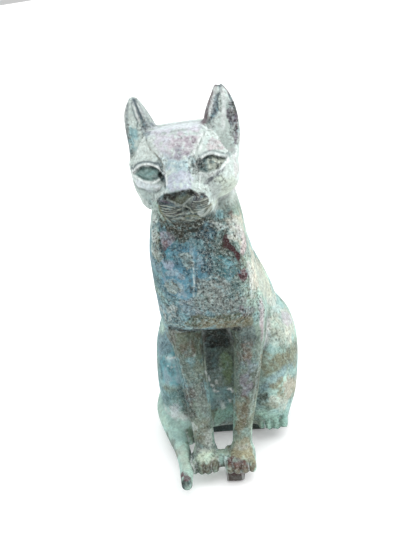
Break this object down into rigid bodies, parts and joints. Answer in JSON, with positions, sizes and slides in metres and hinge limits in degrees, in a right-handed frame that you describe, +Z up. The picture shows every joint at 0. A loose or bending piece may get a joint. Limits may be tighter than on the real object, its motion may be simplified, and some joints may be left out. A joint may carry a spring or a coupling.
{
  "type": "cat figure",
  "caption": "Seated cat figure cast in bronze, upright ears, tail laid along its right side, paws joined by a small bar, standing on short tangs. Weathered green and blue patina.",
  "frame": {"origin": "middle of the rear tang's flat underside, where the figure stands", "axes": "+Z up, the cat faces -Y, +X to its own left (the viewer's right)"},
  "size_m": [0.0592, 0.082, 0.137],
  "materials": {
    "patinated_bronze": "matte, corroded, green and blue patina"
  },
  "bodies": {
    "root": {"cat_figure": "patinated_bronze"}
  },
  "joints": []
}
